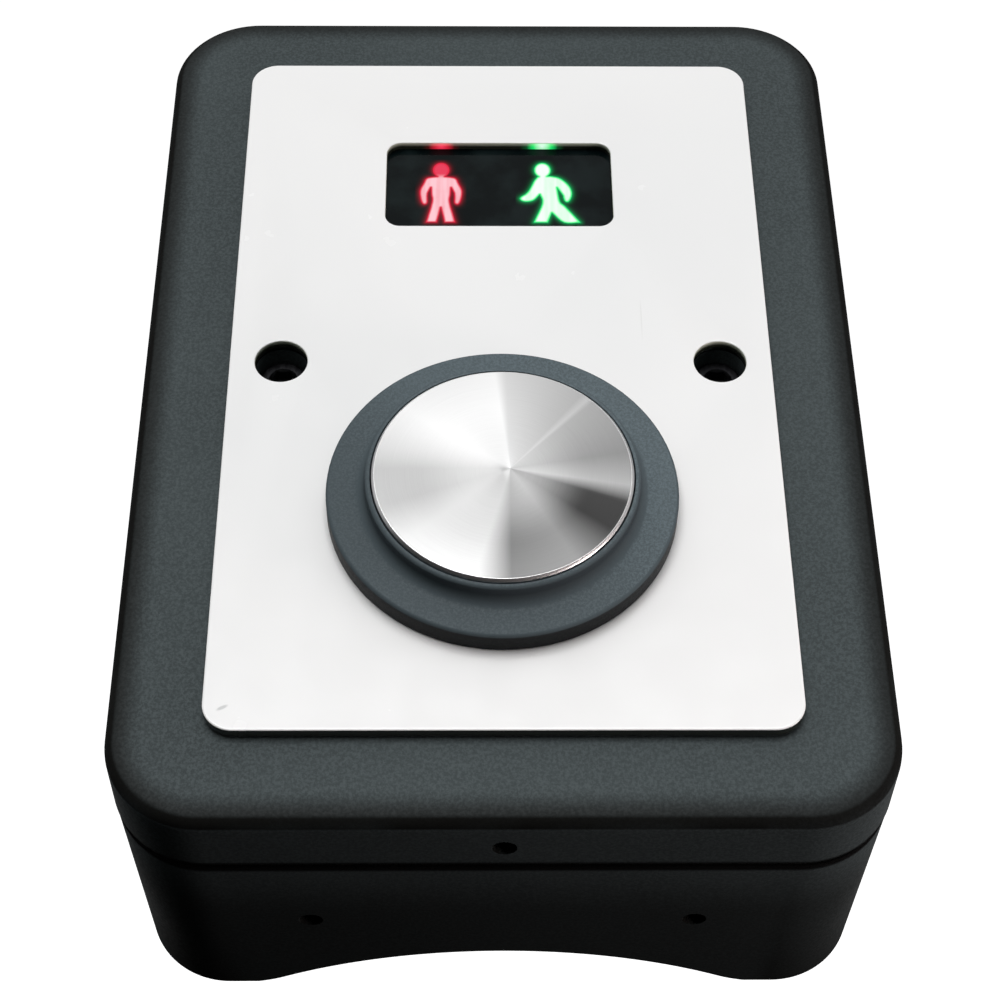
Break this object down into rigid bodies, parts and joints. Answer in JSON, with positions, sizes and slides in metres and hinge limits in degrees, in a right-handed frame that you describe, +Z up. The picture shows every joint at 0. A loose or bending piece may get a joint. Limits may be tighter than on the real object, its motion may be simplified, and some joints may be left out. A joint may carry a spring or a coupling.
{
  "type": "pedestrian traffic light",
  "caption": "Pole-mounted pedestrian signal push-button unit: cast box with a saddle back, white face plate, lit red and green figures in a window, and a large sprung steel button.",
  "frame": {"origin": "centre of the plane of the two rear lands, at mid height of the box: the point where the unit meets its pole", "axes": "+Z up the pole, +Y from the face into the pole (the face looks towards -Y), +X to the right seen from in front"},
  "size_m": [0.15, 0.0842, 0.215],
  "materials": {
    "powder_coat": "matte",
    "collar_coat": "satin",
    "white_gloss": "gloss",
    "black_rubber": "matte",
    "black_steel": "satin",
    "spun_steel": "satin",
    "plain_steel": "satin",
    "bronze": "satin",
    "brass": "satin",
    "smoked_acrylic": "gloss",
    "black_plastic": "satin",
    "white_plastic": "satin",
    "green_plastic": "satin",
    "circuit_board": "satin",
    "nylon": "satin",
    "red_light": "satin",
    "green_light": "satin"
  },
  "bodies": {
    "housing": {"board_connector": "white_plastic", "board_screw_1": "plain_steel", "board_screw_2": "plain_steel", "board_screw_3": "plain_steel", "board_screw_4": "plain_steel", "bracket_screw_left": "plain_steel", "bracket_screw_right": "plain_steel", "button_collar": "collar_coat", "cable_grommet": "black_rubber", "collar_nut": "plain_steel", "collar_o_ring": "black_rubber", "control_board": "circuit_board", "cover_gasket": "black_rubber", "cover_insert_left": "brass", "cover_insert_right": "brass", "cover_screw_left": "black_steel", "cover_screw_right": "black_steel", "cover_screw_washer_left": "nylon", "cover_screw_washer_right": "nylon", "display_board": "circuit_board", "display_connector": "white_plastic", "display_lead": "black_rubber", "display_screw_1": "plain_steel", "display_screw_2": "plain_steel", "display_screw_3": "plain_steel", "display_screw_4": "plain_steel", "earth_screw": "brass", "face_plate": "white_gloss", "front_cover": "powder_coat", "green_figure": "green_light", "green_led": "green_light", "lens_gasket": "black_rubber", "light_box": "white_plastic", "microswitch_body": "black_plastic", "plate_gasket": "black_rubber", "rear_housing": "powder_coat", "red_figure": "red_light", "red_led": "red_light", "return_spring": "plain_steel", "smoothing_capacitor": "black_plastic", "stem_bush": "bronze", "stem_seal": "black_rubber", "switch_bracket": "plain_steel", "switch_lead": "black_rubber", "switch_screw_1": "plain_steel", "switch_screw_2": "plain_steel", "terminal_block": "green_plastic", "window_lens": "smoked_acrylic"},
    "button": {"push_cap": "spun_steel", "plunger_stem": "plain_steel"},
    "lever": {"switch_lever": "plain_steel"},
    "plunger": {"switch_plunger": "white_plastic"}
  },
  "joints": [
    {"name": "button_press", "type": "slide", "parent": "housing", "child": "button", "axis": [0, 1, 0], "range_m": [0, 0.002], "stiffness_N_per_m": 1200, "springref_m": -0.005, "deforming": ["return_spring"]},
    {"name": "lever_pivot", "type": "hinge", "parent": "housing", "child": "lever", "pos_m": [-0.012, -0.0359, -0.03395], "axis": [0, 0, 1], "range_deg": [0, 10]},
    {"name": "plunger_slide", "type": "slide", "parent": "housing", "child": "plunger", "axis": [0, 1, 0], "range_m": [0, 0.0009]}
  ],
  "couplings": [
    {"joint": "lever_pivot", "follows": "button_press", "rad_per_m": 83.333},
    {"joint": "plunger_slide", "follows": "button_press", "ratio": 0.41667}
  ]
}
